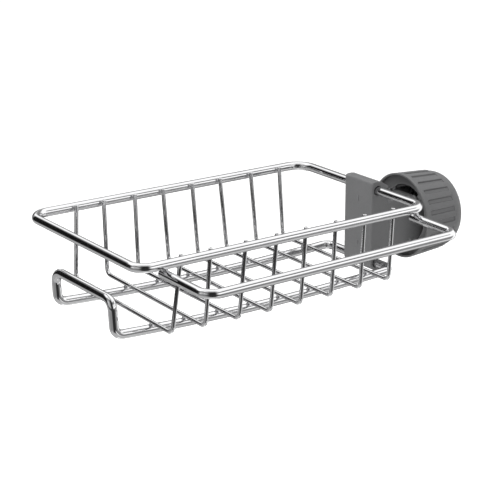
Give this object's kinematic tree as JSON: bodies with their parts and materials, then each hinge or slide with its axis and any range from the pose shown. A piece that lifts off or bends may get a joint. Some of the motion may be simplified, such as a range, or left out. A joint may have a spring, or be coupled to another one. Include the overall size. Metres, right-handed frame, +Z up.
{
  "type": "sink caddy",
  "caption": "Open steel-wire basket with a towel rail that hangs on a plastic hook bracket, clamped to a vertical pipe by a threaded knob.",
  "frame": {"origin": "on the axis of the pipe that the clamp holds, at the clamp's mid-height", "axes": "+X from the basket to the knob, along the knob's axis; -Y towards the towel rail; +Z up along the pipe"},
  "size_m": [0.318, 0.2012, 0.0697],
  "materials": {
    "polished_steel": "polished",
    "grey_plastic": "fine satin moulding texture",
    "black_silicone": "matte",
    "screw_steel": "zinc plated"
  },
  "bodies": {
    "bracket": {"bracket": "grey_plastic", "jaw_pad": "black_silicone"},
    "basket": {"top_rim": "polished_steel", "bottom_frame": "polished_steel", "towel_rail": "polished_steel", "cross_wire_1": "polished_steel", "cross_wire_2": "polished_steel", "cross_wire_3": "polished_steel", "cross_wire_4": "polished_steel", "cross_wire_5": "polished_steel", "cross_wire_6": "polished_steel", "cross_wire_7": "polished_steel", "cross_wire_8": "polished_steel"},
    "pressure": {"pressure_plate": "grey_plastic", "pressure_pad": "black_silicone", "retaining_washer": "screw_steel", "retaining_screw": "screw_steel"},
    "knob": {"knob": "grey_plastic"}
  },
  "joints": [
    {"name": "basket_slide", "type": "slide", "parent": "bracket", "child": "basket", "axis": [0, 1, 0], "range_m": [-0.019, 0.009]},
    {"name": "pressure_slide", "type": "slide", "parent": "bracket", "child": "pressure", "axis": [1, 0, 0], "range_m": [-0.00801, 0.01201]},
    {"name": "knob_spin", "type": "hinge", "parent": "pressure", "child": "knob", "pos_m": [0.0528, 0, 0], "axis": [1, 0, 0], "range_deg": [-576, 864]}
  ],
  "couplings": [
    {"joint": "pressure_slide", "follows": "knob_spin", "m_per_rad": 0.00079577}
  ]
}
